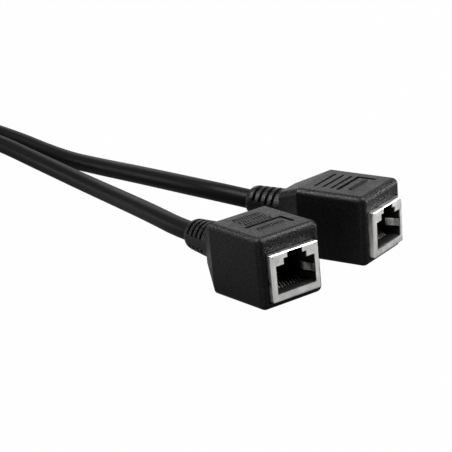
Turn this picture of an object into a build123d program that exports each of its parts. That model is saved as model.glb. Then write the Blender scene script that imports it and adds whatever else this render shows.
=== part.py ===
from build123d import *
import os
from math import cos, radians, sin, tan

# Ethernet cable splitter: two shielded eight-way sockets, each on its own lead, and one
# plug that takes both leads. Millimetres, +Z up, floor at Z = 0. The origin is the middle
# of socket a's underside and +X points out of its port.

# Moulded housing, in each socket's own frame
HOUSING_WIDTH = 20.5
HOUSING_HEIGHT = 20.0
FACE_X = 10.85
BOX_BACK_X = -10.4
EDGE_RADIUS = 1.8
HIP_LENGTH = 8.8
HIP_END_WIDTH = 11.0
HIP_END_HEIGHT = 12.4
HIP_END_RADIUS = 2.0
AXIS_Z = 10.2

# Strain relief, turned about the lead's axis
RELIEF_LENGTH = 12.5
RELIEF_BASE_RADIUS = 5.5
RELIEF_NECK_RADIUS = 4.5
RELIEF_TIP_RADIUS = 3.6
RELIEF_NOSE = 2.0
RELIEF_LIFT = 4.2
SLOT_COUNT = 4
SLOT_PITCH = 2.15
SLOT_WIDTH = 1.0
SLOT_DEPTH = 1.1
SLOT_FIRST = 3.2
SPINE_HEIGHT = 2.8

# Marks on the top face
L_GROOVE_X = 0.4
L_GROOVE_HALF = 5.7
L_GROOVE_LEG = 5.0
L_GROOVE_WIDTH = 1.15
L_GROOVE_DEPTH = 0.5
LINE_GROOVE_COUNT = 3
LINE_GROOVE_PITCH = 2.6
LINE_GROOVE_HALF = 5.4
LINE_GROOVE_WIDTH = 0.8
LINE_GROOVE_DEPTH = 0.4
PIP_LENGTH = 0.45
PIP_WIDTH = 1.1
PIP_HEIGHT = 0.2
PIP_PITCH = 0.9
PIP_ROW_COUNT = 10
L_PIP_SET = 3.0

# Shield shell
SHELL_WIDTH = 16.0
SHELL_HEIGHT = 13.1
SHELL_BOTTOM_Z = 2.25
SHELL_DEPTH = 15.5
SHELL_PROUD = 1.7
SHEET = 0.3
FOLD_RADIUS = 0.45
PORT_BOTTOM = 2.05
PORT_HALF = 6.5
PORT_HEIGHT = 7.8
STEP_HALF = 3.85
STEP_HEIGHT = 1.6
NOTCH_HALF = 2.5
CORNER_HOLE = 0.35
FINGER_HEIGHT = 2.2
FINGER_RISE = 2.65
FINGER_REACH = 5.6
FINGER_BOW = 0.95

# Insert and contacts
INSERT_FIT = 0.05
CAVITY_HALF = 6.0
CAVITY_DEPTH = 12.6
CAVITY_SILL = 0.6
CAVITY_LINTEL = 0.2
INSERT_STEP_HALF = 3.5
INSERT_NOTCH_HALF = 2.2
INSERT_BACK_WALL = 2.2
MOUTH_LEAD = 0.35
CONTACT_COUNT = 8
CONTACT_PITCH = 1.016
CONTACT_WIDTH = 0.45
CONTACT_SHEET = 0.3
CONTACT_RUN_Z = 1.35
CONTACT_NOSE_SET = 2.15
CONTACT_NOSE_RADIUS = 0.5
CONTACT_SPRING = 7.0
CONTACT_SLOPE = 38.0
CONTACT_TAIL = 2.0
CONTACT_FIT = 0.05

# Inner mould, wires and lead
MOULD_BLOCK = 7.0
MOULD_SLEEVE_RADIUS = 3.6
MOULD_END_X = -20.0
WIRE_DIAMETER = 0.9
WIRE_FIT = 0.05
WIRED_CONTACTS = (1, 2, 3, 6)
WIRE_SPREAD = 1.1
POCKET_FIT = 0.05
RECESS_GAP = 0.35
RECESS_DEPTH = 0.8
LEAD_DIAMETER = 5.6
LEAD_FIT = 0.05
LEAD_START_GAP = 0.25

# Socket b stands behind socket a, turned and dipped on its front edge
SOCKET_B_X = -7.47
SOCKET_B_Y = 35.23
SOCKET_B_TURN = 19.2
SOCKET_B_DIP = 1.9

# Plug and boot
PLUG_X = -222.0
PLUG_Y = 29.0
PLUG_LENGTH = 21.5
PLUG_WIDTH = 11.7
PLUG_DROP = 4.0
PLUG_RISE_BACK = 4.0
PLUG_RISE_FRONT = 2.6
PLUG_SHOULDER = 9.0
PLUG_EDGE = 0.4
CHAMBER_LENGTH = 8.0
CHAMBER_WIDTH = 9.8
CHAMBER_HEIGHT = 4.6
CHANNEL_END = 15.0
LATCH_WIDTH = 6.2
LATCH_TAIL_WIDTH = 3.4
LATCH_SHEET = 1.0
LATCH_HINGE = 1.2
LATCH_RUN = 8.2
LATCH_TAIL = 7.2
LATCH_ANGLE = 13.0
BLADE_SHEET = 0.35
BLADE_LENGTH = 3.4
BLADE_SET = 1.3
BLADE_RECESS = 0.5
BOOT_GRIP = 5.0
BOOT_BODY = 9.0
BOOT_TAIL = 13.0
BOOT_WALL = 1.5
BOOT_TAIL_WIDTH = 14.4
BOOT_TAIL_HEIGHT = 8.4
BOOT_RIBS = 4
BOOT_RIB_PITCH = 2.6
BOOT_SLOT = 1.0
BOOT_SLOT_DEPTH = 0.9
BOOT_SPINE = 4.0
LEAD_SPACING = 6.2
LEAD_STOP = 4.0
LEAD_END_RUN = 33.0
CROSSING_HUMP = 1.6
PLUG_Z = PLUG_DROP + BOOT_WALL


def span(x0, x1, y0, y1, z0, z1):
    """Box between two corners."""
    middle = ((x0 + x1) / 2, (y0 + y1) / 2, (z0 + z1) / 2)
    return Pos(*middle) * Box(x1 - x0, y1 - y0, z1 - z0)


def rod(path, diameter):
    """Round section carried along a path."""
    start = Plane(origin=path @ 0, z_dir=path % 0)
    return sweep(start * Circle(diameter / 2), path=path)


def relief_profile(inset):
    """Half section of the strain relief, cut down by an inset, before it is turned."""
    base_x = BOX_BACK_X - HIP_LENGTH
    tip_x = base_x - RELIEF_LENGTH
    neck_x = tip_x + RELIEF_NOSE
    base = (base_x + 1.0, RELIEF_BASE_RADIUS - inset)
    neck = (neck_x, RELIEF_NECK_RADIUS - inset)
    tip = (tip_x, RELIEF_TIP_RADIUS - inset)
    taper = (neck[1] - base[1]) / (neck[0] - base[0])
    top = Line(base, neck)
    nose = TangentArc(neck, tip, tangent=(-1, -taper))
    rest = Polyline(tip, (tip_x, 0), (base[0], 0), base)
    return make_face(Curve() + [top, nose, rest])


def turned_relief(inset=0.0):
    """Solid strain relief about the lead's axis."""
    half = Plane.XZ * relief_profile(inset)
    return Pos(0, 0, AXIS_Z) * revolve(half, Axis.X, 360)


def relief_slots():
    """Cuts that wrap the relief above and below, and leave a spine at each side."""
    cuts = Part()
    first = BOX_BACK_X - HIP_LENGTH - SLOT_FIRST
    reach = RELIEF_BASE_RADIUS + 2
    for index in range(SLOT_COUNT):
        x = first - index * SLOT_PITCH
        for side in (-1, 1):
            z = AXIS_Z + side * (SPINE_HEIGHT + reach) / 2
            cuts += Pos(x, 0, z) * Box(SLOT_WIDTH, 2 * reach, reach)
    return cuts - turned_relief(SLOT_DEPTH)


def groove(x0, y0, x1, y1, width, depth):
    """Round-ended groove in the top face between two points."""
    line = Line((x0, y0), (x1, y1))
    slot = SlotCenterToCenter(line.length, width)
    place = Pos((x0 + x1) / 2, (y0 + y1) / 2, HOUSING_HEIGHT)
    turn = Rot(0, 0, 90 if abs(x1 - x0) < abs(y1 - y0) else 0)
    return place * turn * extrude(slot, amount=depth, both=True)


def pip_row(x, count):
    """Row of small raised bars across the top face."""
    row = Part()
    for index in range(count):
        y = (index - (count - 1) / 2) * PIP_PITCH
        bar = Box(PIP_WIDTH, PIP_LENGTH, 2 * PIP_HEIGHT)
        row += Pos(x, y, HOUSING_HEIGHT) * bar
    return row


def lifted(degrees):
    """Turn that lifts the flexible relief and its lead about the end of the inner mould."""
    return Pos(MOULD_END_X, 0, AXIS_Z) * Rot(0, degrees, 0) * Pos(-MOULD_END_X, 0, -AXIS_Z)


def housing(lines, lift):
    """Moulded housing: rounded box, hipped back, ribbed relief, and the pockets inside."""
    length = FACE_X - BOX_BACK_X
    body = Box(length, HOUSING_WIDTH, HOUSING_HEIGHT)
    body = Pos((FACE_X + BOX_BACK_X) / 2, 0, HOUSING_HEIGHT / 2) * body
    back = body.faces().sort_by(Axis.X)[0]
    rear_edges = back.edges()
    rounded = [edge for edge in body.edges() if edge not in rear_edges]
    body = fillet(rounded, EDGE_RADIUS)
    wide = Plane((BOX_BACK_X, 0, HOUSING_HEIGHT / 2), x_dir=(0, 1, 0), z_dir=(-1, 0, 0))
    small = Plane((BOX_BACK_X - HIP_LENGTH, 0, AXIS_Z), x_dir=(0, 1, 0), z_dir=(-1, 0, 0))
    root = wide * RectangleRounded(HOUSING_WIDTH, HOUSING_HEIGHT, EDGE_RADIUS)
    end = small * RectangleRounded(HIP_END_WIDTH, HIP_END_HEIGHT, HIP_END_RADIUS)
    hip = loft([root, end], ruled=True)
    solid = body + hip + lifted(lift) * (turned_relief() - relief_slots())
    solid -= groove(L_GROOVE_X, -L_GROOVE_HALF, L_GROOVE_X, L_GROOVE_HALF, L_GROOVE_WIDTH, L_GROOVE_DEPTH)
    leg_end = L_GROOVE_X + L_GROOVE_LEG
    solid -= groove(L_GROOVE_X, L_GROOVE_HALF, leg_end, L_GROOVE_HALF, L_GROOVE_WIDTH, L_GROOVE_DEPTH)
    for index in range(LINE_GROOVE_COUNT):
        x = L_GROOVE_X - (index + 0.85) * LINE_GROOVE_PITCH
        if lines:
            half = LINE_GROOVE_HALF
            solid -= groove(x, -half, x, half, LINE_GROOVE_WIDTH, LINE_GROOVE_DEPTH)
        else:
            solid += pip_row(x, PIP_ROW_COUNT)
    solid += pip_row(L_GROOVE_X + L_PIP_SET, PIP_ROW_COUNT)
    solid -= pocket() + lifted(lift) * lead_bore()
    return solid


def shell_box(grow, x0, x1):
    """Block of the shield's outer section, grown all round, between two stations."""
    half = SHELL_WIDTH / 2 + grow
    top = SHELL_BOTTOM_Z + SHELL_HEIGHT + grow
    return span(x0, x1, -half, half, SHELL_BOTTOM_Z - grow, top)


def plate_x():
    """Station of the shield's face."""
    return FACE_X + SHELL_PROUD


def shell_back():
    """Station of the shield's open back."""
    return plate_x() - SHELL_DEPTH


def pocket():
    """What the housing is moulded round: shield and inner mould, with the face recess."""
    cut = shell_box(POCKET_FIT, shell_back(), FACE_X + 1)
    cut += shell_box(RECESS_GAP, FACE_X - RECESS_DEPTH, FACE_X + 1)
    cut += mould_form(POCKET_FIT)
    return cut


def lead_bore():
    """Bore for the lead, from the end of the inner mould out through the relief's tip."""
    tip = BOX_BACK_X - HIP_LENGTH - RELIEF_LENGTH
    bore = Cylinder(LEAD_DIAMETER / 2 + LEAD_FIT, MOULD_END_X - tip + 2)
    return Pos((MOULD_END_X + tip - 2) / 2, 0, AXIS_Z) * Rot(0, 90, 0) * bore


def port_outline(half, step, notch, bottom, shoulder, ledge, top):
    """Stepped port outline in Y and Z, mirrored about the middle."""
    right = [(half, bottom), (half, shoulder), (step, shoulder), (step, ledge), (notch, ledge), (notch, top)]
    left = [(-y, z) for y, z in reversed(right)]
    face = make_face(Polyline(*right, *left, close=True))
    return Plane((0, 0, 0), x_dir=(0, 1, 0), z_dir=(1, 0, 0)) * face


def port_levels():
    """Heights of the port: sill, shoulder, ledge and the top of its notch."""
    bottom = SHELL_BOTTOM_Z + PORT_BOTTOM
    shoulder = bottom + PORT_HEIGHT
    top = SHELL_BOTTOM_Z + SHELL_HEIGHT - SHEET
    return bottom, shoulder, shoulder + STEP_HEIGHT, top


def finger(side):
    """Spring finger, folded in from the port's edge and bowed towards the plug."""
    x = plate_x() - SHEET / 2
    y = PORT_HALF + SHEET / 2
    knee = (x - FINGER_REACH * 0.3, y - FINGER_BOW * 0.2)
    bow = (x - FINGER_REACH * 0.75, y - FINGER_BOW)
    tip = (x - FINGER_REACH, y - FINGER_BOW * 0.45)
    line = FilletPolyline((x, y + SHEET / 2), (x, y), knee, bow, tip, radius=[0.14, 1.0, 1.0])
    strip = trace(line, line_width=SHEET * 0.8)
    bottom = port_levels()[0] + FINGER_RISE
    bar = Pos(0, 0, bottom) * extrude(strip, amount=FINGER_HEIGHT)
    return bar if side > 0 else mirror(bar, Plane.XZ)


def shield():
    """Folded shell: face with the stepped port, four walls, open back, two fingers."""
    front = plate_x()
    shell = shell_box(0, shell_back(), front)
    face = shell.faces().sort_by(Axis.X)[-1]
    corners = shell.edges().filter_by(Axis.X)
    shell = fillet(list(face.edges()) + list(corners), FOLD_RADIUS)
    shell -= shell_box(-SHEET, shell_back() - 1, front - SHEET)
    bottom, shoulder, ledge, top = port_levels()
    port = port_outline(PORT_HALF, STEP_HALF, NOTCH_HALF, bottom, shoulder, ledge, top)
    shell -= Pos(front - 2, 0, 0) * extrude(port, amount=3)
    hole_y = SHELL_WIDTH / 2 - 2 * CORNER_HOLE
    hole_z = SHELL_BOTTOM_Z + SHELL_HEIGHT - 2 * CORNER_HOLE
    for side in (-1, 1):
        hole = Rot(0, 90, 0) * Cylinder(CORNER_HOLE / 2, 2)
        shell -= Pos(front, side * hole_y, hole_z) * hole
        shell += finger(side)
    return shell


def contact_y(index):
    """Place of a contact across the port, counted from 1."""
    return (index - (CONTACT_COUNT + 1) / 2) * CONTACT_PITCH


def contact_run_z():
    """Height of the middle of a contact's lower run."""
    return SHELL_BOTTOM_Z + CONTACT_RUN_Z


def insert_front():
    """Station of the insert's front face, behind the shield's face."""
    return plate_x() - SHEET - INSERT_FIT


def insert_back():
    """Station of the insert's back face."""
    return insert_front() - CAVITY_DEPTH - INSERT_BACK_WALL


def insert():
    """Plastic body: stepped cavity, comb of contact slots, side windows for the fingers."""
    front = insert_front()
    block = shell_box(-SHEET - INSERT_FIT, insert_back(), front)
    bottom, shoulder, ledge, top = port_levels()
    sill = bottom + CAVITY_SILL
    drop = CAVITY_LINTEL
    hollow = port_outline(
        CAVITY_HALF, INSERT_STEP_HALF, INSERT_NOTCH_HALF, sill, shoulder - drop, ledge - drop, top - 2 * drop
    )
    block -= Pos(front - CAVITY_DEPTH, 0, 0) * extrude(hollow, amount=CAVITY_DEPTH + 1)
    lead_in = port_outline(
        CAVITY_HALF + MOUTH_LEAD,
        INSERT_STEP_HALF + MOUTH_LEAD / 2,
        INSERT_NOTCH_HALF + MOUTH_LEAD / 2,
        sill - MOUTH_LEAD,
        shoulder - drop / 2,
        ledge - drop / 2,
        top - drop,
    )
    block -= Pos(front - MOUTH_LEAD, 0, 0) * extrude(lead_in, amount=1)
    seat = contact_run_z() - CONTACT_SHEET / 2
    half = CONTACT_WIDTH / 2 + CONTACT_FIT
    slot_end = plate_x() - CONTACT_NOSE_SET
    for index in range(1, CONTACT_COUNT + 1):
        y = contact_y(index)
        block -= span(front - CAVITY_DEPTH, slot_end, y - half, y + half, seat, sill + 0.5)
        lid = seat + CONTACT_SHEET + CONTACT_FIT
        block -= span(insert_back() - 1, front - CAVITY_DEPTH + 0.1, y - half, y + half, seat, lid)
    low = bottom + FINGER_RISE - 0.4
    high = low + FINGER_HEIGHT + 0.8
    deep = front - FINGER_REACH - 0.6
    outer = PORT_HALF + SHEET + 0.2
    for side in (-1, 1):
        y0, y1 = sorted((side * (CAVITY_HALF - 0.5), side * outer))
        block -= span(deep, front + 1, y0, y1, low, high)
    return block


def contact(index):
    """Spring contact: run under the sill, tight nose, and a free leg rising to the back."""
    z = contact_run_z()
    tail = insert_back() - CONTACT_TAIL
    slope = radians(CONTACT_SLOPE)
    nose = plate_x() - CONTACT_NOSE_SET + 0.35
    reach = CONTACT_SPRING + CONTACT_NOSE_RADIUS / tan(slope / 2)
    tip = (nose - reach * cos(slope), z + reach * sin(slope))
    line = FilletPolyline((tail, z), (nose, z), tip, radius=CONTACT_NOSE_RADIUS)
    strip = Plane.XZ * trace(line, line_width=CONTACT_SHEET)
    bar = extrude(strip, amount=CONTACT_WIDTH / 2, both=True)
    return Pos(0, contact_y(index), 0) * bar


def mould_form(grow):
    """Outer form of the inner mould: block behind the insert, tapering to a sleeve."""
    block_end = shell_back() - MOULD_BLOCK - grow
    inset = grow - SHEET - INSERT_FIT
    half = SHELL_WIDTH / 2 + inset
    height = SHELL_HEIGHT + 2 * inset
    form = shell_box(inset, block_end, insert_back())
    wide = Plane((block_end, 0, SHELL_BOTTOM_Z + SHELL_HEIGHT / 2), x_dir=(0, 1, 0), z_dir=(-1, 0, 0))
    small = Plane((MOULD_END_X, 0, AXIS_Z), x_dir=(0, 1, 0), z_dir=(-1, 0, 0))
    side = 2 * (MOULD_SLEEVE_RADIUS + grow)
    root = wide * Rectangle(2 * half, height)
    end = small * Rectangle(side, side)
    return form + loft([root, end], ruled=True)


def row_y(order, count):
    """Place of a wire in the row at its lead's end, counted from 0."""
    return (order - (count - 1) / 2) * WIRE_SPREAD


def wire_path(index):
    """Route of one insulated wire from the lead's end to the tail of its contact."""
    y0 = row_y(WIRED_CONTACTS.index(index), len(WIRED_CONTACTS))
    end = insert_back() - CONTACT_TAIL
    z1 = contact_run_z()
    y1 = contact_y(index)
    points = [(MOULD_END_X, y0, AXIS_Z), (MOULD_END_X + 3, y0, AXIS_Z), (end - 2.5, y1, z1), (end, y1, z1)]
    return FilletPolyline(*points, radius=1.5)


def inner_mould():
    """Block that seals the joints, moulded round the contact tails and the wires."""
    form = mould_form(0)
    z = contact_run_z()
    tail = insert_back() - CONTACT_TAIL
    half = CONTACT_WIDTH / 2 + CONTACT_FIT
    height = CONTACT_SHEET / 2 + CONTACT_FIT
    for index in range(1, CONTACT_COUNT + 1):
        y = contact_y(index)
        form -= span(tail, insert_back() + 1, y - half, y + half, z - height, z + height)
    for index in WIRED_CONTACTS:
        form -= rod(wire_path(index), WIRE_DIAMETER + 2 * WIRE_FIT)
    return form


def b_place():
    """Place of socket b: turned on the floor and dipped until its front edge touches."""
    dip = radians(SOCKET_B_DIP)
    lift = sin(dip) * (FACE_X - EDGE_RADIUS) - EDGE_RADIUS * (1 - cos(dip))
    place = Pos(SOCKET_B_X, SOCKET_B_Y, lift)
    return place * Rot(0, 0, SOCKET_B_TURN) * Rot(0, SOCKET_B_DIP, 0)


def plug_place():
    """Place of the plug: on the floor, pointing away from the sockets."""
    return Pos(PLUG_X, PLUG_Y, PLUG_Z) * Rot(0, 0, 180)


def lead_route(name):
    """Points of a lead: straight out of its relief, down to the floor, up into the boot."""
    end_x = PLUG_X + LEAD_STOP
    side = -1 if name == "a" else 1
    end_y = PLUG_Y + side * LEAD_SPACING / 2
    begin_x = MOULD_END_X - LEAD_START_GAP
    if name == "a":
        start = [(begin_x, 0, AXIS_Z), (-37, 0, AXIS_Z)]
        middle = [(-58.2, 5.0, 9.0), (-84.9, 12.6, 6.0), (-116, 20.5, 3.0), (-152, 25.4, 2.75)]
    else:
        near = b_place() * lifted(RELIEF_LIFT) * Pos(begin_x, 0, AXIS_Z)
        far = b_place() * lifted(RELIEF_LIFT) * Pos(-37.5, 0, AXIS_Z)
        start = [tuple(near.position), tuple(far.position)]
        middle = [(-62.8, 22.0, 12.4), (-92.5, 25.4, 9.3), (-122, 31.3, 4.9), (-152, 33.8, 2.2)]
    finish = [(end_x + LEAD_END_RUN, end_y, PLUG_Z), (end_x, end_y, PLUG_Z)]
    return start + middle + finish


def lead(name):
    """Round lead along its route, each corner as large an arc as its two runs allow."""
    points = [Vector(*point) for point in lead_route(name)]
    radii = []
    for before, here, after in zip(points, points[1:], points[2:]):
        turn = radians((here - before).get_angle(after - here))
        shorter = min((here - before).length, (after - here).length)
        radii.append(0.45 * shorter / tan(turn / 2))
    path = FilletPolyline(*points, radius=radii)
    solid = rod(path, LEAD_DIAMETER)
    section = 3.14159 * LEAD_DIAMETER**2 / 4
    runs = [round((after - before).length, 1) for before, after in zip(points, points[1:])]
    print("lead", name, "length", round(path.length, 1), "runs", runs, "radii", [round(r) for r in radii])
    print("lead", name, "volume", round(solid.volume, 1), "section x length", round(section * path.length, 1))
    return solid


def channel_y(index):
    """Place of a plug wire or blade across the plug, counted from 1."""
    return (index - (CONTACT_COUNT + 1) / 2) * CONTACT_PITCH


def plug_wire_path(index):
    """Route of one wire from its lead's end to its channel in the plug, in the plug's frame."""
    low = index in WIRED_CONTACTS
    group = [n for n in range(1, CONTACT_COUNT + 1) if (n in WIRED_CONTACTS) == low]
    y0 = row_y(group.index(index), len(group)) + (-1 if low else 1) * LEAD_SPACING / 2
    y1 = channel_y(index)
    hump = CROSSING_HUMP if low and y1 > 0 else -CROSSING_HUMP / 8
    bend_x = CHAMBER_LENGTH / 2
    points = [(-LEAD_STOP, y0, 0), (-LEAD_STOP + 1.2, y0, 0)]
    points += [(bend_x, y1 + (y0 - y1) * 0.1, hump), (CHAMBER_LENGTH - 1.2, y1, 0), (CHANNEL_END, y1, 0)]
    return FilletPolyline(*points, radius=0.8)


def latch():
    """Springing latch in one with the plug: wide tongue at the hinge, narrow finger tab."""
    slope = radians(LATCH_ANGLE)
    x0 = PLUG_LENGTH - LATCH_HINGE
    z0 = PLUG_RISE_FRONT
    x1 = x0 - LATCH_RUN
    z1 = z0 + LATCH_RUN * tan(slope)
    x2 = x1 - LATCH_TAIL
    z2 = z1 + LATCH_TAIL * tan(slope)
    tongue = Polyline((x0, z0 - 0.3), (x0, z0 + 0.4), (x1, z1 + LATCH_SHEET), (x1, z1), (x0 - 1.6, z0 - 0.3), close=True)
    tab = Polyline((x1 + 0.5, z1 - 0.1), (x1 + 0.5, z1 + LATCH_SHEET - 0.1), (x2, z2 + LATCH_SHEET), (x2, z2), close=True)
    wide = extrude(Plane.XZ * make_face(tongue), amount=LATCH_WIDTH / 2, both=True)
    narrow = extrude(Plane.XZ * make_face(tab), amount=LATCH_TAIL_WIDTH / 2, both=True)
    return wide + narrow


def plug_body():
    """Clear plug body: stepped profile, blade slots, wire channels, rear chamber, latch."""
    outline = Polyline(
        (0, -PLUG_DROP),
        (PLUG_LENGTH, -PLUG_DROP),
        (PLUG_LENGTH, PLUG_RISE_FRONT),
        (PLUG_SHOULDER, PLUG_RISE_FRONT),
        (PLUG_SHOULDER - 1.4, PLUG_RISE_BACK),
        (0, PLUG_RISE_BACK),
        close=True,
    )
    body = extrude(Plane.XZ * make_face(outline), amount=PLUG_WIDTH / 2, both=True)
    body = chamfer(body.faces().sort_by(Axis.X)[-1].edges(), PLUG_EDGE)
    chamber = span(-1, CHAMBER_LENGTH, -CHAMBER_WIDTH / 2, CHAMBER_WIDTH / 2, -CHAMBER_HEIGHT / 2, CHAMBER_HEIGHT / 2)
    body -= chamber
    bore = WIRE_DIAMETER + 2 * WIRE_FIT
    length = CHANNEL_END - CHAMBER_LENGTH + 0.5
    slot = BLADE_SHEET / 2 + WIRE_FIT
    blade_x0 = PLUG_LENGTH - BLADE_SET - BLADE_LENGTH
    for index in range(1, CONTACT_COUNT + 1):
        y = channel_y(index)
        channel = Rot(0, 90, 0) * Cylinder(bore / 2, length)
        body -= Pos(CHANNEL_END - length / 2, y, 0) * channel
        body -= span(blade_x0, PLUG_LENGTH + 1, y - slot, y + slot, -PLUG_DROP - 1, 0)
    return body + latch()


def blade(index):
    """Gold blade standing in its slot, open at the plug's underside and nose."""
    x0 = PLUG_LENGTH - BLADE_SET - BLADE_LENGTH
    foot = -PLUG_DROP + BLADE_RECESS
    corners = [(x0, 0), (x0 + BLADE_LENGTH, 0), (x0 + BLADE_LENGTH, foot), (x0, foot)]
    sheet = make_face(Polyline(*corners, close=True))
    sheet = fillet(sheet.vertices().sort_by(Axis.Y)[:2], 0.5)
    bar = extrude(Plane.XZ * sheet, amount=BLADE_SHEET / 2, both=True)
    return Pos(0, channel_y(index), 0) * bar


def boot():
    """Boot moulded round the plug's back and both leads, with a ribbed flexing tail."""
    body_width = PLUG_WIDTH + 2 * BOOT_WALL
    body_height = PLUG_DROP + PLUG_RISE_BACK + 2 * BOOT_WALL
    block = span(-BOOT_BODY, BOOT_GRIP, -body_width / 2, body_width / 2, -body_height / 2, body_height / 2)
    block = fillet(block.edges().filter_by(Axis.X), 2.0)
    front = Plane((-BOOT_BODY, 0, 0), x_dir=(0, 1, 0), z_dir=(-1, 0, 0))
    back = Plane((-BOOT_BODY - BOOT_TAIL, 0, 0), x_dir=(0, 1, 0), z_dir=(-1, 0, 0))
    root = front * RectangleRounded(body_width, body_height, 2.0)
    end = back * RectangleRounded(BOOT_TAIL_WIDTH, BOOT_TAIL_HEIGHT, 3.0)
    tail = loft([root, end], ruled=True)
    for index in range(BOOT_RIBS):
        x = -BOOT_BODY - 2.2 - index * BOOT_RIB_PITCH
        for side in (-1, 1):
            depth = body_height / 2 - (body_height - BOOT_TAIL_HEIGHT) / 2 * (-x - BOOT_BODY) / BOOT_TAIL
            z = side * (depth - BOOT_SLOT_DEPTH + 2)
            tail -= Pos(x, 0, z) * Box(BOOT_SLOT, body_width - BOOT_SPINE, 4)
    solid = block + tail
    half = PLUG_WIDTH / 2
    solid -= span(0, BOOT_GRIP + 1, -half, half, -PLUG_DROP, PLUG_RISE_BACK)
    bore = LEAD_DIAMETER / 2 + LEAD_FIT
    length = BOOT_BODY + BOOT_TAIL - LEAD_STOP + 1
    for side in (-1, 1):
        lead_bore = Rot(0, 90, 0) * Cylinder(bore, length)
        solid -= Pos(-LEAD_STOP - length / 2, side * LEAD_SPACING / 2, 0) * lead_bore
    for index in range(1, CONTACT_COUNT + 1):
        solid -= rod(plug_wire_path(index), WIRE_DIAMETER + 2 * WIRE_FIT)
    return solid


def socket_pieces(name):
    """Every piece of one socket in its own frame, by node name."""
    pieces = {"housing_" + name: housing(lines=name == "b", lift=RELIEF_LIFT if name == "b" else 0)}
    pieces["shield_" + name] = shield()
    pieces["insert_" + name] = insert()
    pieces["inner_mould_" + name] = inner_mould()
    for index in range(1, CONTACT_COUNT + 1):
        pieces[f"contact_{name}_{index}"] = contact(index)
    for index in WIRED_CONTACTS:
        pieces[f"wire_{name}_{index}"] = rod(wire_path(index), WIRE_DIAMETER)
    return pieces


def plug_pieces():
    """Every piece of the plug end in its own frame, by node name."""
    pieces = {"plug_body": plug_body(), "plug_boot": boot()}
    for index in range(1, CONTACT_COUNT + 1):
        pieces[f"blade_{index}"] = blade(index)
        pieces[f"plug_wire_{index}"] = rod(plug_wire_path(index), WIRE_DIAMETER)
    return pieces


def main():
    """Builds every piece in place and writes one file for each."""
    os.makedirs("parts", exist_ok=True)
    places = {"a": Pos(0, 0, 0), "b": b_place()}
    placed = {}
    for name, place in places.items():
        for node, piece in socket_pieces(name).items():
            placed[node] = place * piece
        placed["lead_" + name] = lead(name)
    for node, piece in plug_pieces().items():
        placed[node] = plug_place() * piece
    for node, piece in placed.items():
        export_step(piece, f"parts/{node}.step")
    print(len(placed), "pieces")


main()
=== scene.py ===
"""Ethernet cable splitter: two shielded sockets, their leads and the plug that takes both.

Everything is in metres in the frame of the CAD part: +Z up, floor at Z = 0, and +X out of
the front socket's port. The CAD pieces keep their shapes under smooth surfaces and their
finishes. The leads and the contacts are made anew as finer shapes in the same places, and
the raised bars on the sockets get drafted fronts.
"""

from __future__ import annotations

import logging
import math
from dataclasses import dataclass, field
from enum import Enum

import bpy
import numpy as np
from mathutils import Matrix, Vector
from numpy.typing import NDArray

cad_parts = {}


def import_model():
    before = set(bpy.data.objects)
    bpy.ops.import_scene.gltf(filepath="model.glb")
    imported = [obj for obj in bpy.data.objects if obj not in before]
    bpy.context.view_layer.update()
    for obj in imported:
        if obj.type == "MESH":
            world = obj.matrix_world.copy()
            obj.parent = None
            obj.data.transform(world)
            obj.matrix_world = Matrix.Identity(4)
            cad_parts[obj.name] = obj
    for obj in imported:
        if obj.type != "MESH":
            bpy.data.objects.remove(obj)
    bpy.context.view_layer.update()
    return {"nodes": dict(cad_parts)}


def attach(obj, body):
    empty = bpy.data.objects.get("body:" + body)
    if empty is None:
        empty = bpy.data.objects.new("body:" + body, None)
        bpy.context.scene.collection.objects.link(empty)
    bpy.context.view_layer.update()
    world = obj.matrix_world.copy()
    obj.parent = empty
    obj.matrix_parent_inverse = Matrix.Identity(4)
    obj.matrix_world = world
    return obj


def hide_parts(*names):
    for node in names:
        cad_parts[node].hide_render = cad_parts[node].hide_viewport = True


MM = 0.001
LOG = logging.getLogger("splitter")
Array = NDArray[np.float64]


# Small tools


def linear(hex_colour: str) -> tuple[float, float, float, float]:
    """Turns an sRGB hex colour into a linear one.

    Args:
        hex_colour: Colour such as "#1b1b1c".

    Returns:
        Red, green, blue and an alpha of 1, each from 0 to 1.
    """
    channels = [int(hex_colour[start : start + 2], 16) / 255 for start in (1, 3, 5)]
    red, green, blue = (c / 12.92 if c <= 0.04045 else ((c + 0.055) / 1.055) ** 2.4 for c in channels)
    return red, green, blue, 1.0


def add_node(
    tree: bpy.types.NodeTree,
    kind: str,
    inputs: dict | None = None,
    **settings: object,
) -> bpy.types.Node:
    """Adds one shader node with its settings, values and links.

    Args:
        tree: Node tree that the node joins.
        kind: Type name of the node without the leading "ShaderNode".
        inputs: Socket name or number to a value, or to the output socket that feeds it.
        settings: Properties of the node.

    Returns:
        The new node.
    """
    made = tree.nodes.new("ShaderNode" + kind)
    for key, value in settings.items():
        setattr(made, key, value)
    for key, value in (inputs or {}).items():
        socket = made.inputs[key]
        if isinstance(value, bpy.types.NodeSocket):
            tree.links.new(value, socket)
        else:
            socket.default_value = value
    return made


def per_metre(size_mm: float) -> float:
    """Pattern scale that makes one feature as large as a size in millimetres."""
    return 1000.0 / size_mm


# Finishes


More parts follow.
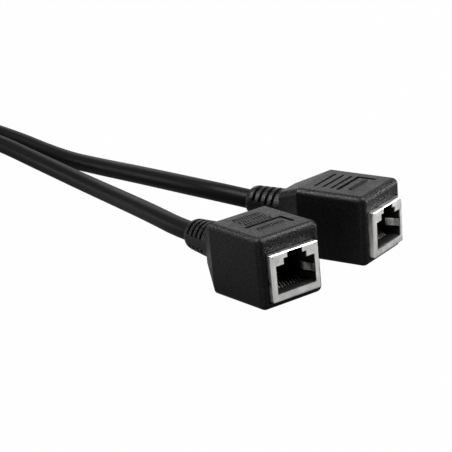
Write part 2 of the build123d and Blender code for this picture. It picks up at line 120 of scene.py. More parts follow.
@dataclass(frozen=True)
class Finish:
    """A named surface finish that builds its material once.

    Attributes:
        name: Name of the material.
    """

    name: str

    def surface(self, tree: bpy.types.NodeTree, where: bpy.types.NodeSocket) -> bpy.types.NodeSocket:
        """Adds the finish's nodes to a tree.

        Args:
            tree: Node tree of the new material.
            where: Object coordinates in metres.

        Returns:
            The shader output.
        """
        raise NotImplementedError

    def material(self) -> bpy.types.Material:
        """Material of this finish, made on first use."""
        known = bpy.data.materials.get(self.name)
        if known:
            return known
        made = bpy.data.materials.new(self.name)
        made.use_nodes = True
        tree = made.node_tree
        tree.nodes.clear()
        where = add_node(tree, "TexCoord").outputs["Object"]
        output = add_node(tree, "OutputMaterial")
        tree.links.new(self.surface(tree, where), output.inputs["Surface"])
        return made


@dataclass(frozen=True)
class MouldedVinyl(Finish):
    """Soft black PVC out of a spark-eroded mould.

    The eye sees a matt black with a fine even grain that breaks its highlights into specks,
    and slight cloudiness where the melt flowed.

    Attributes:
        colour: Colour of the compound.
        cloud_colour: Slightly greyer colour of the clouds in it.
        grain_mm: Width of one grain of the mould's texture.
        grain_height_mm: Height of that grain.
        roughness: Mean roughness.
        sheen_level: Strength of the reflection, low because the grain traps light.
    """

    colour: str = "#080809"
    cloud_colour: str = "#0e0e0f"
    grain_mm: float = 0.55
    grain_height_mm: float = 0.075
    roughness: float = 0.33
    sheen_level: float = 0.16

    def surface(self, tree: bpy.types.NodeTree, where: bpy.types.NodeSocket) -> bpy.types.NodeSocket:
        """Grain from two noises a factor of three apart, clouds from a third. See Finish."""
        # The real grain is about 0.1 mm; it is drawn five times as coarse to show in the render.
        coarse_scale = per_metre(self.grain_mm)
        fine_scale = per_metre(self.grain_mm / 3)
        grain = add_node(tree, "TexNoise", {"Vector": where, "Scale": coarse_scale, "Detail": 2.0})
        fine = add_node(tree, "TexNoise", {"Vector": where, "Scale": fine_scale, "Detail": 1.0})
        cloud = add_node(tree, "TexNoise", {"Vector": where, "Scale": per_metre(9.0), "Detail": 2.0})
        height = add_node(tree, "Math", {0: grain.outputs["Fac"], 1: fine.outputs["Fac"]}, operation="ADD")
        relief = add_node(
            tree,
            "Bump",
            {"Height": height.outputs[0], "Distance": self.grain_height_mm * MM, "Strength": 1.0},
        )
        gloss = add_node(
            tree,
            "MapRange",
            {"Value": grain.outputs["Fac"], "From Min": 0.3, "From Max": 0.7,
             "To Min": self.roughness + 0.12, "To Max": self.roughness - 0.12},
        )
        tint = add_node(
            tree,
            "Mix",
            {"Factor": cloud.outputs["Fac"], "A": linear(self.colour), "B": linear(self.cloud_colour)},
            data_type="RGBA",
        )
        shader = add_node(
            tree,
            "BsdfPrincipled",
            {"Base Color": tint.outputs["Result"], "Roughness": gloss.outputs["Result"], "IOR": 1.5,
             "Specular IOR Level": self.sheen_level, "Normal": relief.outputs["Normal"]},
        )
        return shader.outputs["BSDF"]


@dataclass(frozen=True)
class ExtrudedJacket(Finish):
    """Black PVC cable jacket, extruded.

    The eye sees a satin black with one soft highlight along the cable, slightly uneven.

    Attributes:
        colour: Colour of the jacket.
        ripple_mm: Length of the slow ripples left by the extruder.
        roughness: Mean roughness.
        sheen_level: Strength of the reflection.
    """

    colour: str = "#0b0b0c"
    ripple_mm: float = 2.4
    roughness: float = 0.4
    sheen_level: float = 0.06

    def surface(self, tree: bpy.types.NodeTree, where: bpy.types.NodeSocket) -> bpy.types.NodeSocket:
        """Slow ripples and a fine skin texture. See Finish."""
        ripple_scale = per_metre(self.ripple_mm)
        ripple = add_node(tree, "TexNoise", {"Vector": where, "Scale": ripple_scale, "Detail": 1.0})
        skin = add_node(tree, "TexNoise", {"Vector": where, "Scale": per_metre(0.35), "Detail": 2.0})
        height = add_node(
            tree,
            "Math",
            {0: ripple.outputs["Fac"], 1: 0.55, 2: skin.outputs["Fac"]},
            operation="MULTIPLY_ADD",
        )
        relief = add_node(
            tree,
            "Bump",
            {"Height": height.outputs[0], "Distance": 0.012 * MM, "Strength": 1.0},
        )
        gloss = add_node(
            tree,
            "MapRange",
            {"Value": skin.outputs["Fac"], "From Min": 0.3, "From Max": 0.7,
             "To Min": self.roughness - 0.06, "To Max": self.roughness + 0.08},
        )
        shader = add_node(
            tree,
            "BsdfPrincipled",
            {"Base Color": linear(self.colour), "Roughness": gloss.outputs["Result"], "IOR": 1.5,
             "Specular IOR Level": self.sheen_level, "Normal": relief.outputs["Normal"]},
        )
        return shader.outputs["BSDF"]


@dataclass(frozen=True)
class NickelPlate(Finish):
    """Bright nickel on stamped and folded steel.

    The eye sees a pale grey metal, a little cloudy, with fine rolling marks across the sheet.

    Attributes:
        colour: Colour of the plating.
        mark_mm: Spacing of the rolling marks.
        roughness: Mean roughness.
    """

    colour: str = "#f7f6f4"
    mark_mm: float = 0.3
    roughness: float = 0.34

    def surface(self, tree: bpy.types.NodeTree, where: bpy.types.NodeSocket) -> bpy.types.NodeSocket:
        """Rolling marks are a noise stretched tenfold along Z; clouds lift the roughness. See Finish."""
        stretched = add_node(tree, "Mapping", {"Vector": where, "Scale": (1.0, 1.0, 0.1)})
        marks = add_node(
            tree,
            "TexNoise",
            {"Vector": stretched.outputs["Vector"], "Scale": per_metre(self.mark_mm), "Detail": 2.0},
        )
        cloud = add_node(tree, "TexNoise", {"Vector": where, "Scale": per_metre(2.5), "Detail": 3.0})
        relief = add_node(
            tree,
            "Bump",
            {"Height": marks.outputs["Fac"], "Distance": 0.004 * MM, "Strength": 1.0},
        )
        gloss = add_node(
            tree,
            "MapRange",
            {"Value": cloud.outputs["Fac"], "From Min": 0.3, "From Max": 0.7,
             "To Min": self.roughness - 0.07, "To Max": self.roughness + 0.09},
        )
        shader = add_node(
            tree,
            "BsdfPrincipled",
            {"Base Color": linear(self.colour), "Metallic": 1.0, "Roughness": gloss.outputs["Result"],
             "Normal": relief.outputs["Normal"]},
        )
        return shader.outputs["BSDF"]


@dataclass(frozen=True)
class GoldPlate(Finish):
    """Hard gold over nickel on drawn spring bronze.

    The eye sees a polished metal, warm where the gold is thick, with faint draw marks.

    Attributes:
        colour: Colour of the plating.
        roughness: Mean roughness.
    """

    colour: str = "#d8cbab"
    roughness: float = 0.2

    def surface(self, tree: bpy.types.NodeTree, where: bpy.types.NodeSocket) -> bpy.types.NodeSocket:
        """Draw marks are a noise finer than the wire. See Finish."""
        marks = add_node(tree, "TexNoise", {"Vector": where, "Scale": per_metre(0.18), "Detail": 2.0})
        gloss = add_node(
            tree,
            "MapRange",
            {"Value": marks.outputs["Fac"], "From Min": 0.3, "From Max": 0.7,
             "To Min": self.roughness - 0.06, "To Max": self.roughness + 0.1},
        )
        shader = add_node(
            tree,
            "BsdfPrincipled",
            {"Base Color": linear(self.colour), "Metallic": 1.0, "Roughness": gloss.outputs["Result"]},
        )
        return shader.outputs["BSDF"]


@dataclass(frozen=True)
class FilledPolyester(Finish):
    """Glass-filled polyester, injection moulded.

    The eye sees a dense black with a dull skin and faint swirls of fibre.

    Attributes:
        colour: Colour of the compound.
        roughness: Mean roughness.
        sheen_level: Strength of the reflection, low because the fibres dull the skin.
    """

    colour: str = "#0f0f10"
    roughness: float = 0.48
    sheen_level: float = 0.15

    def surface(self, tree: bpy.types.NodeTree, where: bpy.types.NodeSocket) -> bpy.types.NodeSocket:
        """Fibre swirls are a distorted noise about 0.8 mm long. See Finish."""
        swirl = add_node(
            tree,
            "TexNoise",
            {"Vector": where, "Scale": per_metre(0.8), "Detail": 3.0, "Distortion": 0.8},
        )
        relief = add_node(
            tree,
            "Bump",
            {"Height": swirl.outputs["Fac"], "Distance": 0.01 * MM, "Strength": 1.0},
        )
        gloss = add_node(
            tree,
            "MapRange",
            {"Value": swirl.outputs["Fac"], "From Min": 0.3, "From Max": 0.7,
             "To Min": self.roughness - 0.08, "To Max": self.roughness + 0.1},
        )
        shader = add_node(
            tree,
            "BsdfPrincipled",
            {"Base Color": linear(self.colour), "Roughness": gloss.outputs["Result"], "IOR": 1.57,
             "Specular IOR Level": self.sheen_level, "Normal": relief.outputs["Normal"]},
        )
        return shader.outputs["BSDF"]


@dataclass(frozen=True)
class Polythene(Finish):
    """Natural polythene, moulded over the joints.

    The eye sees a milky off-white, waxy block with slow waves in its skin.

    Attributes:
        colour: Colour of the plastic.
    """

    colour: str = "#d9d8d0"

    def surface(self, tree: bpy.types.NodeTree, where: bpy.types.NodeSocket) -> bpy.types.NodeSocket:
        """Slow waviness of the skin, 1.5 mm long. See Finish."""
        wave = add_node(tree, "TexNoise", {"Vector": where, "Scale": per_metre(1.5), "Detail": 2.0})
        relief = add_node(
            tree,
            "Bump",
            {"Height": wave.outputs["Fac"], "Distance": 0.02 * MM, "Strength": 1.0},
        )
        shader = add_node(
            tree,
            "BsdfPrincipled",
            {"Base Color": linear(self.colour), "Roughness": 0.45, "IOR": 1.51,
             "Subsurface Weight": 0.25, "Subsurface Radius": (0.001, 0.001, 0.0009),
             "Normal": relief.outputs["Normal"]},
        )
        return shader.outputs["BSDF"]


@dataclass(frozen=True)
class ClearPolycarbonate(Finish):
    """Clear polycarbonate, injection moulded.

    The eye sees a glassy, nearly colourless body with faint flow lines along it.

    Attributes:
        colour: Faint tint of the plastic.
    """

    colour: str = "#f1f4f4"

    def surface(self, tree: bpy.types.NodeTree, where: bpy.types.NodeSocket) -> bpy.types.NodeSocket:
        """Flow lines are a noise stretched along the plug. See Finish."""
        stretched = add_node(tree, "Mapping", {"Vector": where, "Scale": (0.25, 1.0, 1.0)})
        flow = add_node(
            tree,
            "TexNoise",
            {"Vector": stretched.outputs["Vector"], "Scale": per_metre(1.2), "Detail": 2.0},
        )
        relief = add_node(
            tree,
            "Bump",
            {"Height": flow.outputs["Fac"], "Distance": 0.01 * MM, "Strength": 1.0},
        )
        shader = add_node(
            tree,
            "BsdfPrincipled",
            {"Base Color": linear(self.colour), "Roughness": 0.2, "IOR": 1.58, "Specular IOR Level": 0.3,
             "Transmission Weight": 1.0, "Normal": relief.outputs["Normal"]},
        )
        return shader.outputs["BSDF"]


class WireColour(Enum):
    """Colour of each pair's insulation."""

    ORANGE = "#d9661f"
    GREEN = "#1f7a38"
    BLUE = "#2450a6"
    BROWN = "#6b3d22"


@dataclass(frozen=True)
class Insulation(Finish):
    """Extruded polythene wire insulation, plain, or white banded with the pair's colour.

    The eye sees a clean half-gloss colour with a slight mottle.

    Attributes:
        pair: Colour of the pair.
        striped: Whether the insulation is white with a stripe.
    """

    pair: WireColour = WireColour.ORANGE
    striped: bool = False

    def surface(self, tree: bpy.types.NodeTree, where: bpy.types.NodeSocket) -> bpy.types.NodeSocket:
        """Stripes are bands 1.6 mm apart along the wire; the rest is a slight mottle. See Finish.

        A wave of scale s has 20 s radians in a metre, so bands a distance d apart need
        s = 2 pi / (20 d).
        """
        mottle = add_node(tree, "TexNoise", {"Vector": where, "Scale": per_metre(0.9), "Detail": 1.0})
        bands = add_node(
            tree,
            "TexWave",
            {"Vector": where, "Scale": per_metre(1.6) * math.pi / 10, "Distortion": 0.4},
            bands_direction="X",
        )
        edge = add_node(tree, "Math", {0: bands.outputs["Fac"], 1: 0.55}, operation="GREATER_THAN")
        ground = "#e6e3dc" if self.striped else self.pair.value
        shade = add_node(
            tree,
            "Mix",
            {"Factor": edge.outputs[0] if self.striped else mottle.outputs["Fac"],
             "A": linear(ground), "B": linear(self.pair.value)},
            data_type="RGBA",
        )
        shader = add_node(
            tree,
            "BsdfPrincipled",
            {"Base Color": shade.outputs["Result"], "Roughness": 0.35, "IOR": 1.51},
        )
        return shader.outputs["BSDF"]


@dataclass(frozen=True)
class StudioSweep(Finish):
    """Pale paper sweep: white to the camera and through glass, and lit as paper for the rest.

    Attributes:
        colour: Colour of the paper.
        lift: How far camera rays are lifted to plain white, so that the shadow stays faint.
        glass_lift: The same for what clear plastic shows of the paper.
        mirror_lift: The same for what metal and gloss show of the paper.
    """

    colour: str = "#686868"
    lift: float = 0.99
    glass_lift: float = 0.9
    mirror_lift: float = 0.07

    def surface(self, tree: bpy.types.NodeTree, where: bpy.types.NodeSocket) -> bpy.types.NodeSocket:
        """Mix of paper and plain white by the kind of ray. See Finish."""
        path = add_node(tree, "LightPath")
        seen = add_node(tree, "Math", {0: path.outputs["Is Camera Ray"], 1: self.lift}, operation="MULTIPLY")
        through = add_node(
            tree,
            "Math",
            {0: path.outputs["Is Transmission Ray"], 1: self.glass_lift, 2: seen.outputs[0]},
            operation="MULTIPLY_ADD",
        )
        share = add_node(
            tree,
            "Math",
            {0: path.outputs["Is Glossy Ray"], 1: self.mirror_lift, 2: through.outputs[0]},
            operation="MULTIPLY_ADD",
        )
        paper = add_node(tree, "BsdfDiffuse", {"Color": linear(self.colour), "Roughness": 0.5})
        white = add_node(tree, "Emission", {"Color": (1.0, 1.0, 1.0, 1.0), "Strength": 1.0})
        mix = add_node(tree, "MixShader", {0: share.outputs[0], 1: paper.outputs[0], 2: white.outputs[0]})
        return mix.outputs[0]


VINYL = MouldedVinyl("black PVC, grained moulding")
JACKET = ExtrudedJacket("black PVC, extruded jacket")
NICKEL = NickelPlate("bright nickel on stamped steel")
GOLD = GoldPlate("hard gold on spring bronze")
# The sockets' contacts use the gold finish darkened to a dark metal colour: painted shade of the deep port,
# with only the noses lit bright by the lamps
CONTACT_GOLD_PAINTED_SHADE = GoldPlate("thin dulled gold on spring bronze", colour="#413e39", roughness=0.26)
POLYESTER = FilledPolyester("glass-filled polyester, black")
POLYTHENE = Polythene("natural polythene seal")
POLYCARBONATE = ClearPolycarbonate("clear polycarbonate")
PAPER = StudioSweep("white paper sweep")

# Wire number at the contacts to its pair's colour and whether it is the striped one
WIRE_CODE: dict[int, tuple[WireColour, bool]] = {
    1: (WireColour.ORANGE, True),
    2: (WireColour.ORANGE, False),
    3: (WireColour.GREEN, True),
    4: (WireColour.BLUE, False),
    5: (WireColour.BLUE, True),
    6: (WireColour.GREEN, False),
    7: (WireColour.BROWN, True),
    8: (WireColour.BROWN, False),
}


def insulation(number: int) -> Insulation:
    """Finish of the wire that belongs to a contact number."""
    pair, striped = WIRE_CODE[number]
    kind = "white and " if striped else ""
    return Insulation(f"{kind}{pair.name.lower()} insulation", pair=pair, striped=striped)


def wire_slot(number: int) -> str:
    """Material slot of the record that belongs to a wire number."""
    pair, striped = WIRE_CODE[number]
    return ("wire_stripe_" if striped else "wire_") + pair.name.lower()


# Meshes


def show(piece: bpy.types.Object, finish: Finish, slot: str, *nodes: str) -> bpy.types.Object:
    """Gives a piece its finish and ties it to the frame.

    Args:
        piece: Object in place, with its place in its mesh.
        finish: Finish of the whole piece.
        slot: Material slot of the record; not used.
        nodes: CAD nodes that the piece stands for.

    Returns:
        The same piece.
    """
    piece.data.materials.clear()
    piece.data.materials.append(finish.material())
    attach(piece, "root")
    if nodes:
        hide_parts(*nodes)
    LOG.info("%s: %s", piece.name, finish.name)
    return piece


def mesh_piece(name: str, points: Array, faces: Array | list, smooth: bool = True) -> bpy.types.Object:
    """Makes a mesh object from arrays.

    Args:
        name: Name of the object.
        points: Vertices, one row each, in metres.
        faces: Vertex numbers of each face.
        smooth: Whether the faces are shaded smooth.

    Returns:
        The object, linked to the scene.
    """
    mesh = bpy.data.meshes.new(name)
    mesh.from_pydata(np.asarray(points, float), [], [list(map(int, face)) for face in faces])
    mesh.polygons.foreach_set("use_smooth", np.full(len(mesh.polygons), smooth))
    mesh.update()
    piece = bpy.data.objects.new(name, mesh)
    bpy.context.scene.collection.objects.link(piece)
    return piece


def welded(node: bpy.types.Object, name: str, crease_deg: float) -> bpy.types.Object:
    """Copy of a CAD node with its loose triangles joined and shaded smooth up to a crease.

    Corners that round to the same tenth of a micron become one vertex, triangles that lose a
    corner by that are dropped, and edges that turn more than the crease angle stay sharp.

    Args:
        node: CAD node's object.
        name: Name of the copy.
        crease_deg: Angle between faces above which an edge is sharp, in degrees.

    Returns:
        The copy, with a weighted-normal modifier that keeps flat faces flat.
    """
    source = node.data
    source.calc_loop_triangles()
    corners = np.empty(len(source.loop_triangles) * 3, np.int32)
    source.loop_triangles.foreach_get("vertices", corners)
    places = np.empty(len(source.vertices) * 3)
    source.vertices.foreach_get("co", places)
    places = places.reshape(-1, 3)
    keys, first, where = np.unique(
        np.round(places * 1e7).astype(np.int64), axis=0, return_index=True, return_inverse=True
    )
    triangles = where.reshape(-1)[corners].reshape(-1, 3)
    kept = (
        (triangles[:, 0] != triangles[:, 1])
        & (triangles[:, 1] != triangles[:, 2])
        & (triangles[:, 2] != triangles[:, 0])
    )
    piece = mesh_piece(name, places[first], triangles[kept])
    piece.data.set_sharp_from_angle(angle=math.radians(crease_deg))
    normals = piece.modifiers.new("flat faces stay flat", "WEIGHTED_NORMAL")
    normals.keep_sharp = True
    normals.weight = 100
    return piece


def rounded_line(points: Array, radius: float, steps: int) -> Array:
    """Polyline in a plane with each corner turned into an arc.

    An arc touches both runs at radius times the tangent of half the turn from the corner, and
    its points are the corner's bisector frame turned in equal steps.

    Args:
        points: Corner points, one row each.
        radius: Radius of every arc.
        steps: Number of points on an arc.

    Returns:
        Points of the rounded line.
    """
    before = points[:-2] - points[1:-1]
    after = points[2:] - points[1:-1]
    before /= np.linalg.norm(before, axis=1)[:, None]
    after /= np.linalg.norm(after, axis=1)[:, None]
    half = np.arccos(np.clip((before * after).sum(1), -1, 1)) / 2
    middle = before + after
    middle /= np.linalg.norm(middle, axis=1)[:, None]
    across = before - after
    across /= np.linalg.norm(across, axis=1)[:, None]
    centre = points[1:-1] + middle * (radius / np.sin(half))[:, None]
    sweep = (math.pi / 2 - half)[:, None] * np.linspace(-1, 1, steps)
    arcs = (
        centre[:, None]
        - radius * np.cos(sweep)[..., None] * middle[:, None]
        - radius * np.sin(sweep)[..., None] * across[:, None]
    )
    return np.vstack([points[:1], arcs.reshape(-1, points.shape[1]), points[-1:]])


def soft_bar(width: float, thick: float, count: int, power: float = 4.0) -> Array:
    """Section of a bar with eased edges.

    The outline is a superellipse: |u / half width| ^ power + |v / half thickness| ^ power = 1.

    Args:
        width: Size along u.
        thick: Size along v.
        count: Number of points round it.
        power: Squareness, 2 for an ellipse.

    Returns:
        Points of u and v, one row each.
    """
    turn = np.linspace(0, 2 * math.pi, count, endpoint=False) + math.pi / count
    round_u, round_v = np.cos(turn), np.sin(turn)
    u = np.sign(round_u) * np.abs(round_u) ** (2 / power) * width / 2
    v = np.sign(round_v) * np.abs(round_v) ** (2 / power) * thick / 2
    return np.column_stack([u, v])


def carried(line: Array, section: Array, across: Array, scale: Array | None = None) -> tuple[Array, list]:
    """Section carried along a flat line.

    Point (i, j) is line point i plus u of section point j along the fixed across direction
    plus v of it along the line's own normal, which is across times the tangent.

    Args:
        line: Centre line, one row per station.
        section: Section points of u and v.
        across: Unit vector normal to the line's plane.
        scale: Size of the section at each station, 1 where it is left out.

    Returns:
        Vertices, and faces with both ends closed.
    """
    tangent = np.gradient(line, axis=0)
    tangent /= np.linalg.norm(tangent, axis=1)[:, None]
    normal = np.cross(across, tangent)
    size = np.ones(len(line)) if scale is None else scale
    grid = (
        line[:, None]
        + size[:, None, None] * section[None, :, :1] * across
        + size[:, None, None] * section[None, :, 1:] * normal[:, None]
    )
    rows, columns = len(line), len(section)
    number = np.arange(rows * columns).reshape(rows, columns)
    turned = np.roll(number, -1, axis=1)
    quads = np.stack([number[:-1], turned[:-1], turned[1:], number[1:]], axis=-1).reshape(-1, 4)
    faces = quads.tolist() + [number[0, ::-1].tolist(), number[-1].tolist()]
    return grid.reshape(-1, 3), faces


def placed(points: Array, place: Matrix) -> Array:
    """Points in millimetres moved by a place in millimetres, in metres."""
    turn = np.array(place.to_3x3())
    return (points @ turn.T + np.array(place.translation)) * MM


# Sub-assemblies


@dataclass
class Socket:
    """One shielded socket: housing, shield, insert, eight contacts and what is sealed inside.

    Attributes:
        name: Letter of the socket in the CAD nodes.
        place: Place of the socket in millimetres.
        nodes: CAD nodes by name.
        pitch: Distance between contacts in millimetres.
        contact_count: Number of contacts.
        run_z: Height of the contacts' lower run.
        tail_x: Where the contacts end at the back.
        nose_x: Where the contacts turn back at the mouth.
        nose_radius: Radius of that turn.
        spring: Length of the free leg after the nose.
        slope_deg: Angle of the free leg.
        wire_width: Width of a contact.
        wire_thick: Thickness of a contact.
        top_z: Height of the top face.
        bar_rows: Stations of the rows of raised bars on the top face.
        bar_pitch: Distance between bars in a row.
        bar_count: Bars in a row.
        bar_front: Distance from a row's station to the front of its bars.
        bar_height: Height of a bar.
        bar_length: Length of a bar along its row.
        lap: How far a bar's drafted front laps into the bar.
        sink: How far that front goes into the top face.
    """

    name: str
    place: Matrix
    nodes: dict[str, bpy.types.Object]
    pitch: float = 1.016
    contact_count: int = 8
    run_z: float = 3.6
    tail_x: float = -4.6
    nose_x: float = 10.75
    nose_radius: float = 0.5
    spring: float = 7.0
    slope_deg: float = 38.0
    wire_width: float = 0.45
    wire_thick: float = 0.3
    top_z: float = 20.0
    bar_rows: tuple[float, ...] = (3.4,)
    bar_pitch: float = 0.9
    bar_count: int = 10
    bar_front: float = 0.55
    bar_height: float = 0.2
    bar_length: float = 0.45
    lap: float = 0.03
    sink: float = 0.02

    def shell(self) -> None:
        """Shows housing, shield and insert with smooth surfaces."""
        for part, finish, slot, crease in (
            ("housing", VINYL, "moulding", 24.0),
            ("shield", NICKEL, "shell", 32.0),
            ("insert", POLYESTER, "insert_plastic", 30.0),
            ("inner_mould", POLYTHENE, "inner_plastic", 30.0),
        ):
            node = f"{part}_{self.name}"
            show(welded(self.nodes[node], f"{node}_surface", crease), finish, slot, node)

    def bar_drafts(self) -> None:
        """Makes the drafted fronts of the raised bars, which slope down at about 40 degrees.

        Each is a wedge with six corners: three of its section at either end, the section being
        the bar's top front edge, a point a little over a bar's height ahead of its foot, and
        the foot itself.
        """
        # The wedge stands a hair proud of the bar, so that the two faces don't coincide
        proud = 0.002
        head = (-self.lap, self.bar_height + proud)
        toe = (self.bar_height + 2 * self.sink, -self.sink)
        heel = (-self.lap, -self.sink)
        section = np.array([head, toe, heel])
        bars = np.arange(self.bar_count)
        row, index, end = np.meshgrid(self.bar_rows, bars, (-0.5, 0.5), indexing="ij")
        across = (index - (self.bar_count - 1) / 2) * self.bar_pitch + end * self.bar_length
        corners = np.stack(
            [
                (row + self.bar_front)[..., None] + section[:, 0],
                np.repeat(across[..., None], 3, axis=-1),
                np.broadcast_to(self.top_z + section[:, 1], across.shape + (3,)),
            ],
            axis=-1,
        ).reshape(-1, 3)
        first = np.arange(len(corners) // 6)[:, None] * 6
        quads = (first[:, None] + np.array([(0, 1, 4, 3), (1, 2, 5, 4), (2, 0, 3, 5)])).reshape(-1, 4)
        ends = (first[:, None] + np.array([(0, 2, 1), (3, 4, 5)])).reshape(-1, 3)
        faces = quads.tolist() + ends.tolist()
        fronts = mesh_piece(f"bar_drafts_{self.name}", placed(corners, self.place), faces, smooth=False)
        show(fronts, VINYL, "moulding")

    def contact_line(self) -> Array:
        """Centre line of a contact in X and Z: lower run, tight nose, free leg with a hooked tip."""
        slope = math.radians(self.slope_deg)
        reach = self.spring + self.nose_radius / math.tan(slope / 2)
        tip = (self.nose_x - reach * math.cos(slope), self.run_z + reach * math.sin(slope))
        corners = np.array([(self.tail_x, self.run_z), (self.nose_x, self.run_z), tip])
        bent = rounded_line(corners, self.nose_radius, 13)
        legs = [np.linspace(bent[0], bent[1], 6)[:-1], bent[1:-1], np.linspace(bent[-2], bent[-1], 8)[1:]]
        return np.vstack(legs)

    def contacts(self) -> None:
        """Makes the eight spring contacts, tapered a little at the free end."""
        flat = self.contact_line()
        section = soft_bar(self.wire_width, self.wire_thick, 12)
        ease = np.ones(len(flat))
        ease[-1] = 0.6
        middle = (self.contact_count + 1) / 2
        for index in range(1, self.contact_count + 1):
            y = np.full(len(flat), (index - middle) * self.pitch)
            line = np.column_stack([flat[:, 0], y, flat[:, 1]])
            points, faces = carried(line, section, np.array([0.0, 1.0, 0.0]), ease)
            node = f"contact_{self.name}_{index}"
            piece = mesh_piece(f"{node}_spring", placed(points, self.place), faces)
            piece.data.set_sharp_from_angle(angle=math.radians(50))
            # The contacts' darkened gold is painted shade of the port
            show(piece, CONTACT_GOLD_PAINTED_SHADE, "contact_plating", node)

    def wires(self) -> None:
        """Shows the insulated wires between the lead and the contacts."""
        for index in (1, 2, 3, 6):
            node = f"wire_{self.name}_{index}"
            show(welded(self.nodes[node], f"{node}_surface", 50.0), insulation(index), wire_slot(index), node)

    def build(self) -> None:
        """Builds and dresses the whole socket."""
        self.shell()
        self.bar_drafts()
        self.contacts()
        self.wires()


@dataclass
class PlugEnd:
    """The plug that takes both leads: clear body with its latch, blades, wires and boot.

    Attributes:
        nodes: CAD nodes by name.
        parts: Objects that have been built, which go with the leads.
    """

    nodes: dict[str, bpy.types.Object]
    parts: list[bpy.types.Object] = field(default_factory=list)

    def build(self) -> None:
        """Builds and dresses the body, the boot, the blades and the wires."""
        body = welded(self.nodes["plug_body"], "plug_body_surface", 30.0)
        self.parts.append(show(body, POLYCARBONATE, "clear_plastic", "plug_body"))
        boot = welded(self.nodes["plug_boot"], "plug_boot_surface", 24.0)
        self.parts.append(show(boot, VINYL, "moulding", "plug_boot"))
        for index in range(1, 9):
            node = f"blade_{index}"
            blade = welded(self.nodes[node], f"{node}_surface", 30.0)
            self.parts.append(show(blade, GOLD, "contact_plating", node))
            node = f"plug_wire_{index}"
            wire = welded(self.nodes[node], f"{node}_surface", 50.0)
            self.parts.append(show(wire, insulation(index), wire_slot(index), node))


@dataclass
class Lead:
    """One round lead from a socket's strain relief to the plug's boot.

    Attributes:
        name: Letter of its socket.
        route: Points that the lead follows, in millimetres.
        exit: Where it leaves its strain relief, in millimetres.
        length: Real length in millimetres.
        diameter: Diameter in millimetres.
    """

    name: str
    route: tuple[tuple[float, float, float], ...]
    exit: tuple[float, float, float]
    length: float
    diameter: float = 5.6

    def build(self, plug: PlugEnd) -> bpy.types.Object:
        """Makes the lead as a smooth spline with a round section.

        Args:
            plug: The plug end that the lead goes into; not used.

        Returns:
            The curve object.
        """
        curve = bpy.data.curves.new(f"lead_{self.name}_jacket", "CURVE")
        curve.dimensions = "3D"
        curve.bevel_depth = self.diameter / 2 * MM
        curve.bevel_resolution = 8
        curve.use_fill_caps = True
        spline = curve.splines.new("NURBS")
        spline.points.add(len(self.route) - 1)
        weights = np.ones((len(self.route), 1))
        spline.points.foreach_set("co", np.hstack([np.array(self.route) * MM, weights]).ravel())
        spline.order_u = 3
        spline.use_endpoint_u = True
        spline.resolution_u = 24
        piece = bpy.data.objects.new(curve.name, curve)
        bpy.context.scene.collection.objects.link(piece)
        show(piece, JACKET, "jacket", f"lead_{self.name}")
        return piece


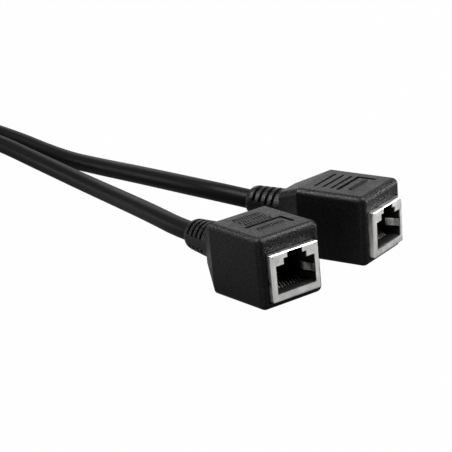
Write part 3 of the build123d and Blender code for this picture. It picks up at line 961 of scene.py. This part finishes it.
@dataclass
class Studio:
    """Paper sweep, soft lamps and the camera.

    Attributes:
        eye: Camera's place in millimetres.
        azimuth_deg: Direction of the camera, as in the CAD views.
        elevation_deg: Height of the camera above the horizon.
        roll_deg: Turn of the camera about its own axis.
        lens_mm: Focal length on a 36 mm sensor.
    """

    eye: tuple[float, float, float] = (390.773, -294.981, 179.848)
    azimuth_deg: float = 54.086
    elevation_deg: float = 18.105
    roll_deg: float = -5.465
    lens_mm: float = 156.0

    def camera(self) -> None:
        """Places the camera; its axes are the direction back from the view, rolled about itself."""
        turn, rise, roll = (math.radians(v) for v in (self.azimuth_deg, self.elevation_deg, self.roll_deg))
        back = np.array([math.sin(turn) * math.cos(rise), -math.cos(turn) * math.cos(rise), math.sin(rise)])
        right = np.array([math.cos(turn), math.sin(turn), 0.0])
        up = np.cross(back, right)
        axis_x = math.cos(roll) * right + math.sin(roll) * up
        axis_y = -math.sin(roll) * right + math.cos(roll) * up
        place = Matrix(np.column_stack([axis_x, axis_y, back]).tolist()).to_4x4()
        place.translation = Vector(self.eye) * MM
        data = bpy.data.cameras.new("camera")
        data.lens = self.lens_mm
        data.sensor_width = 36.0
        data.clip_start = 0.01
        data.clip_end = 20.0
        camera = bpy.data.objects.new("camera", data)
        camera.matrix_world = place
        bpy.context.scene.collection.objects.link(camera)
        bpy.context.scene.camera = camera

    def lamp(self, name: str, place: tuple[float, float, float], size: float, watts: float) -> None:
        """Hangs one soft square lamp.

        Args:
            name: Name of the lamp.
            place: Where it hangs, in metres; it faces the sockets.
            size: Side of the square in metres.
            watts: Power.
        """
        data = bpy.data.lights.new(name, "AREA")
        data.shape = "SQUARE"
        data.size = size
        data.energy = watts
        lamp = bpy.data.objects.new(name, data)
        aim = Vector((-0.02, 0.015, 0.01)) - Vector(place)
        lamp.rotation_euler = aim.to_track_quat("-Z", "Y").to_euler()
        lamp.location = place
        bpy.context.scene.collection.objects.link(lamp)

    def floor(self) -> None:
        """Lays a wide flat sheet of paper under the object, 12 m square in four by four faces."""
        grid = np.linspace(-6.0, 6.0, 5)
        x, y = np.meshgrid(grid, grid, indexing="ij")
        points = np.column_stack([x.ravel(), y.ravel(), np.zeros(x.size)])
        number = np.arange(x.size).reshape(x.shape)
        near, far = number[:-1], number[1:]
        faces = np.stack([near[:, :-1], far[:, :-1], far[:, 1:], near[:, 1:]], axis=-1).reshape(-1, 4)
        sheet = mesh_piece("floor", points, faces, smooth=False)
        sheet.data.materials.append(PAPER.material())

    def world(self) -> None:
        """Sets an even soft white surround, plain white to the camera."""
        world = bpy.data.worlds.new("surround")
        world.use_nodes = True
        tree = world.node_tree
        tree.nodes.clear()
        path = add_node(tree, "LightPath")
        strength = add_node(
            tree,
            "MapRange",
            {"Value": path.outputs["Is Camera Ray"], "To Min": 0.1, "To Max": 1.0},
        )
        ground = add_node(
            tree,
            "Background",
            {"Color": (1.0, 1.0, 1.0, 1.0), "Strength": strength.outputs["Result"]},
        )
        output = add_node(tree, "OutputWorld")
        tree.links.new(ground.outputs[0], output.inputs["Surface"])
        bpy.context.scene.world = world

    def build(self) -> None:
        """Sets up everything round the object."""
        self.floor()
        self.world()
        self.lamp("back softbox", (-1.1, 0.85, 0.5), 1.0, 3.0)
        self.lamp("lead softbox", (-1.15, -0.4, 0.08), 0.3, 1.1)
        self.lamp("top softbox", (0.0, 0.05, 0.9), 1.0, 3.0)
        self.lamp("face softbox", (0.75, 0.5, 0.06), 0.22, 1.2)
        self.lamp("rear face softbox", (0.24, 0.9, 0.06), 0.22, 5.0)
        self.lamp("port fill", (0.5, -0.92, 0.1), 0.3, 2.7)
        self.lamp("edge softbox", (0.28, 0.5, 0.7), 0.35, 13.0)
        self.lamp("side edge softbox", (-0.37, -0.42, 0.7), 0.35, 11.0)
        self.camera()
        bpy.context.scene.view_settings.view_transform = "Standard"


LEAD_A = Lead(
    name="a",
    route=(
        (-20.25, 0.0, 10.2),
        (-37.0, 0.0, 10.2),
        (-58.2, 5.0, 9.0),
        (-84.9, 12.6, 6.0),
        (-116.0, 20.5, 3.0),
        (-152.0, 25.4, 2.75),
        (-185.0, 25.9, 5.5),
        (-218.0, 25.9, 5.5),
    ),
    exit=(-31.7, 0.0, 10.2),
    length=201.0,
)
LEAD_B = Lead(
    name="b",
    route=(
        (-26.263, 28.686, 11.185),
        (-42.461, 23.045, 13.018),
        (-62.8, 22.0, 12.4),
        (-92.5, 25.4, 9.3),
        (-122.0, 31.3, 4.9),
        (-152.0, 33.8, 2.2),
        (-185.0, 32.1, 5.5),
        (-218.0, 32.1, 5.5),
    ),
    exit=(-37.016, 24.942, 12.402),
    length=194.1,
)


def sockets(nodes: dict[str, bpy.types.Object]) -> list[Socket]:
    """Both sockets: a at the origin with four rows of bars, b turned 19.2 and dipped 1.9 degrees.

    Args:
        nodes: CAD nodes by name.

    Returns:
        The sockets, ready to build.
    """
    turn = Matrix.Rotation(math.radians(19.2), 4, "Z") @ Matrix.Rotation(math.radians(1.9), 4, "Y")
    rows = (3.4, -1.81, -4.41, -7.01)
    return [
        Socket("a", Matrix.Identity(4), nodes, bar_rows=rows),
        Socket("b", Matrix.Translation((-7.47, 35.23, 0.2991)) @ turn, nodes),
    ]


def main() -> None:
    """Builds the object and its studio in order."""
    logging.basicConfig(level=logging.INFO, format="%(name)s %(message)s")
    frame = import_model()
    for socket in sockets(frame["nodes"]):
        socket.build()
    plug = PlugEnd(frame["nodes"])
    plug.build()
    for lead in (LEAD_A, LEAD_B):
        lead.build(plug)
    Studio().build()


if __name__ == "__main__":
    main()
